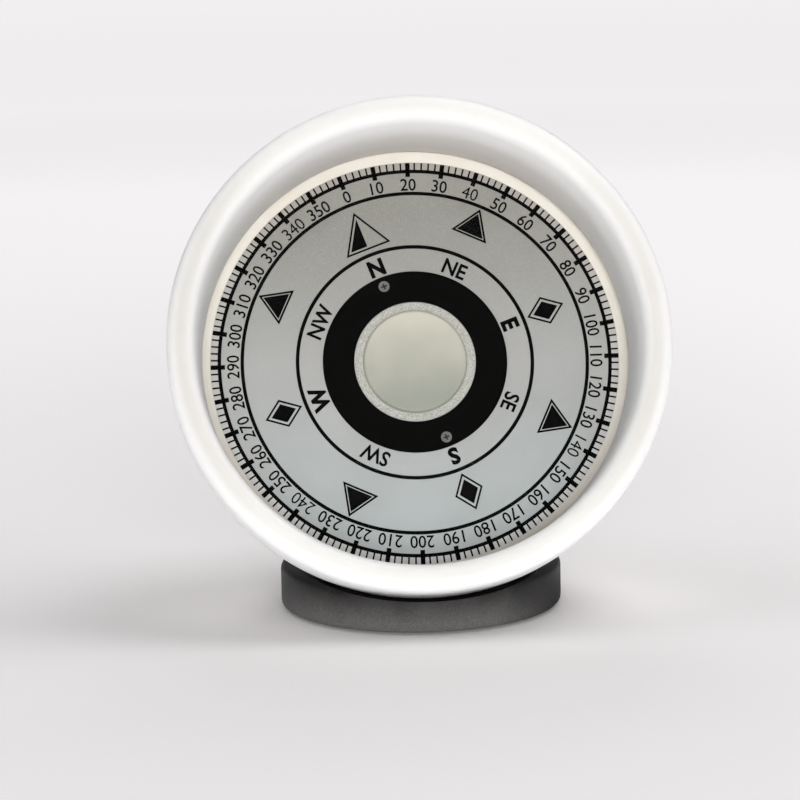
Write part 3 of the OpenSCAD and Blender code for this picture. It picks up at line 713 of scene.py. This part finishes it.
printed_ring("scale_ring", scale_ring)
fine_marks = printed_plates("fine_marks", [bar(b, 36.0, 37.4, 0.3) for b in range(0, 360, 2) if b % 10])
ten_marks = printed_plates("ten_marks", [bar(b, 34.8, 37.42, 0.84) for b in range(0, 360, 10)])
printed_ring("number_ring", number_ring)
printed_ring("letter_ring", letter_ring)
printed_ring("annulus", annulus, thick=0.04)
print(len(fine_marks.data.polygons) // 6, "fine marks and", len(ten_marks.data.polygons) // 6, "heavy ones")

# %% [markdown]
# Between the points of the compass stand outlined triangles with a solid heart. The four main points
# have a plain outlined mark of their own: an arrow half filled at north, and rhombs at the others.

# %% Direction marks


def shrink(corners, width):
    """A convex outline with each side moved inwards by width: where neighbouring moved sides cross."""
    sides = np.roll(corners, -1, 0) - corners
    normals = np.stack([-sides[:, 1], sides[:, 0]], -1) / np.linalg.norm(sides, axis=1)[:, None]
    normals *= np.sign(((corners.mean(0) - corners) * normals).sum(1))[:, None]
    distance = (corners * normals).sum(1) + width
    both_normals = np.stack([np.roll(normals, 1, 0), normals], 1)
    both_distances = np.stack([np.roll(distance, 1), distance], 1)
    return np.linalg.solve(both_normals, both_distances[..., None])[..., 0]


def frame_strips(corners, width):
    """An outline drawn as one strip for each side, mitred where they meet."""
    inner = shrink(corners, width)
    return list(np.stack([corners, np.roll(corners, -1, 0), np.roll(inner, -1, 0), inner], 1))


def dial_shape(bearing, corners):
    """Corners given as (radius, sideways) about a bearing, as (x, y) on the dial."""
    radius, sideways = np.array(corners).T
    return np.stack(on_dial(bearing, radius, sideways), -1)


triangle_line, rhomb_line = 0.36, 0.34
marks = []
for bearing in (45, 135, 225, 315):
    triangle = dial_shape(bearing, [(31.2, 0), (25.6, 3.5), (25.6, -3.5)])
    marks += frame_strips(triangle, triangle_line) + [shrink(triangle, 0.52)]
for bearing in (90, 180, 270):
    rhomb = dial_shape(bearing, [(29.5, 0), (25.9, 2.7), (22.3, 0), (25.9, -2.7)])
    marks += frame_strips(rhomb, rhomb_line) + [shrink(rhomb, 0.72)]
north = dial_shape(0, [(30.1, 0), (22.6, 4.35), (22.6, -4.35)])
tip, right_foot, left_foot = shrink(north, 0.66)
marks += frame_strips(north, rhomb_line) + [np.array([tip, (right_foot + left_foot) / 2, left_foot])]
printed_plates("direction_marks", marks)
print(len(marks), "strips and hearts")

# %% [markdown]
# Numbers and letters are text objects, turned into mesh while they lie flat. Their corners are then
# moved onto the dial as one array: the text's width runs along the clockwise tangent and its height
# along the bearing, so the tops point outwards.

# %% Numbers and letters
capital_share = 0.73


def words_on_dial(name, words, height, middle, squeeze, weight):
    """Text at bearings: each word is height mm tall, its middle at radius middle, squeezed in width, and
    drawn heavier by weight mm. A word with a 4 keeps its own weight, or the figure's small gap fills up."""
    verts, faces, count = [], [], 0
    for bearing, word in words:
        curve = bpy.data.curves.new("word", "FONT")
        curve.body, curve.size, curve.resolution_u = word, height / capital_share, 3
        curve.align_x, curve.extrude = "CENTER", ink_t / 2
        curve.offset = 0.0 if "4" in word else weight
        text = bpy.data.objects.new("word", curve)
        bpy.context.scene.collection.objects.link(text)
        bpy.context.view_layer.update()
        mesh = bpy.data.meshes.new_from_object(text)
        flat = np.empty(len(mesh.vertices) * 3)
        mesh.vertices.foreach_get("co", flat)
        flat = flat.reshape(-1, 3)
        low, high = flat.min(0), flat.max(0)
        centred = (flat - (low + high) / 2) * height / (high[1] - low[1])
        x, y = on_dial(bearing, middle + centred[:, 1], centred[:, 0] * squeeze)
        verts.append(head_point(x, y, dial_level + ink_t / 2 + flat[:, 2]))
        faces += [[v + count for v in polygon.vertices] for polygon in mesh.polygons]
        count += len(flat)
        bpy.data.objects.remove(text)
        bpy.data.curves.remove(curve)
        bpy.data.meshes.remove(mesh)
    mesh = bpy.data.meshes.new(name)
    mesh.from_pydata(np.concatenate(verts).tolist(), [], faces)
    return finished(name, mesh, finishes["dial_ink"], "card")


main_points = zip((0, 90, 180, 270), ("N", "E", "S", "W"))
other_points = zip((45, 135, 225, 315), ("NE", "SE", "SW", "NW"))
numbers = words_on_dial("numbers", [(b, str(b)) for b in range(0, 360, 10)], 2.3, 33.3, 0.94, 0.03)
words_on_dial("main_letters", main_points, 3.25, 18.85, 0.96, 0.2)
words_on_dial("other_letters", other_points, 2.85, 18.85, 0.92, 0.09)
print("numbers", len(numbers.data.polygons), "faces")

# %% [markdown]
# The room gives next to no light, so that the lamps alone shape the object. Only where the camera sees
# it, straight on, in a mirror or through the cover, is it drawn in the picture's own pale grey. Light
# Path tells these rays from the others.

# %% Room's light


def in_sight(finish):
    """1 for rays of the camera, of mirrors and through clear things, and 0 for the rest."""
    kinds = ("Is Camera Ray", "Is Glossy Ray", "Is Transmission Ray")
    camera_ray, glossy_ray, clear_ray = [finish.node("LightPath", out=kind) for kind in kinds]
    return finish.math("MAXIMUM", finish.math("MAXIMUM", camera_ray, glossy_ray), clear_ray)


room = Finish("room", bpy.data.worlds, "ShaderNodeOutputWorld")
dim = room.node("Background", None, {"Color": (1, 1, 1, 1), "Strength": 0.04})
pale = room.node("Background", None, {"Color": tint(238, 236, 237), "Strength": 0.35})
bpy.context.scene.world = room.show(room.node("MixShader", None, {0: in_sight(room), 1: dim, 2: pale}))
print("room set")

# %% [markdown]
# The table is a plain pale disc that runs past the picture on every side, so it is the whole
# background. Where the camera sees it, it grows paler with the distance, up to the grey of the room,
# and it keeps the soft shadow of the object. Near the object its glow drops away, which paints a
# soft shadow round the object as well.

# %% Table
far_away = 2.0
painted_shadow_then_paler = ((0, 0.0), (0.02, 0.03), (0.06, 0.12), (0.09, 0.17), (0.22, 0.40), (0.35, 0.62),
                       (0.55, 0.78), (1, 0.84))
table = Finish("table")
distance = table.node("VectorMath", {"operation": "LENGTH"}, {0: table.place()}, out=1)
# painted shadow: the glow is weakest next to the object and grows paler further away
shadowed_glow = table.ramp(table.fade(distance, 0.0, far_away), *painted_shadow_then_paler)
lit = table.node("AddShader", None, {
    0: table.node("BsdfDiffuse", None, {"Color": tint(228, 226, 227)}),
    1: table.node("Emission", None, {"Color": (1, 1, 1, 1), "Strength": 0.34})})
looked_at = table.node("AddShader", None, {
    0: table.node("BsdfDiffuse", None, {"Color": tint(250, 247, 248)}),
    1: table.node("Emission", None, {"Color": shadowed_glow * tint(255, 252, 254), "Strength": 1.0})})
table.show(table.node("MixShader", None, {0: in_sight(table), 1: lit, 2: looked_at}))

radii, columns = np.array([0.001, 0.2, 1.0, 6.0]), 64
angle = np.linspace(0, 2 * np.pi, columns, endpoint=False)
x, y = np.outer(radii, np.cos(angle)), np.outer(radii, np.sin(angle))
disc = np.stack([x, y, np.zeros_like(x)], -1)
index = np.arange(x.size).reshape(-1, columns)
inner, outer = index[:-1], index[1:]
quads = np.stack([inner, outer, np.roll(outer, -1, 1), np.roll(inner, -1, 1)], -1)
table_mesh = bpy.data.meshes.new("table")
table_mesh.from_pydata(disc.reshape(-1, 3).tolist(), [], quads.reshape(-1, 4).tolist() + [index[0].tolist()])
table_mesh.materials.append(finishes["table"])
table_top = bpy.data.objects.new("table", table_mesh)
bpy.context.scene.collection.objects.link(table_top)
print("table", radii[-1], "m in radius")

# %% [markdown]
# Six square lamps stand in for the windows and reflectors of a product table. Most of the light comes
# from in front, so that the dial is lit evenly, and two lamps above give the crest of the lip its
# highlight. The front and right lamps would mirror in the cover as bright patches, so they don't.

# %% Lamps


def softbox(name, place, aim, width, power, mirrored=True):
    """A square lamp of that width at a place, turned towards aim."""
    lamp = bpy.data.lights.new(name, "AREA")
    lamp.shape, lamp.size, lamp.energy = "SQUARE", width, power
    box = bpy.data.objects.new(name, lamp)
    box.location = place
    box.rotation_euler = (Vector(aim) - Vector(place)).to_track_quat("-Z", "Y").to_euler()
    box.visible_glossy = mirrored
    bpy.context.scene.collection.objects.link(box)


head_height = (0, 0, 0.045)
softbox("lamp_above_right", (0.3, 0.05, 0.65), head_height, 0.45, 1.85)
softbox("lamp_above_left", (-0.35, 0.0, 0.6), head_height, 0.45, 0.75)
softbox("lamp_front", (0.0, -1.1, 0.12), head_height, 0.5, 11.8, mirrored=False)
softbox("lamp_left", (-0.7, -0.1, 0.2), head_height, 0.4, 0.4)
softbox("lamp_right", (0.7, -0.1, 0.25), head_height, 0.4, 0.7, mirrored=False)
softbox("lamp_behind", (0.0, 0.5, 0.6), (0, 0, 0.06), 0.4, 0.8)
print("lamps set")
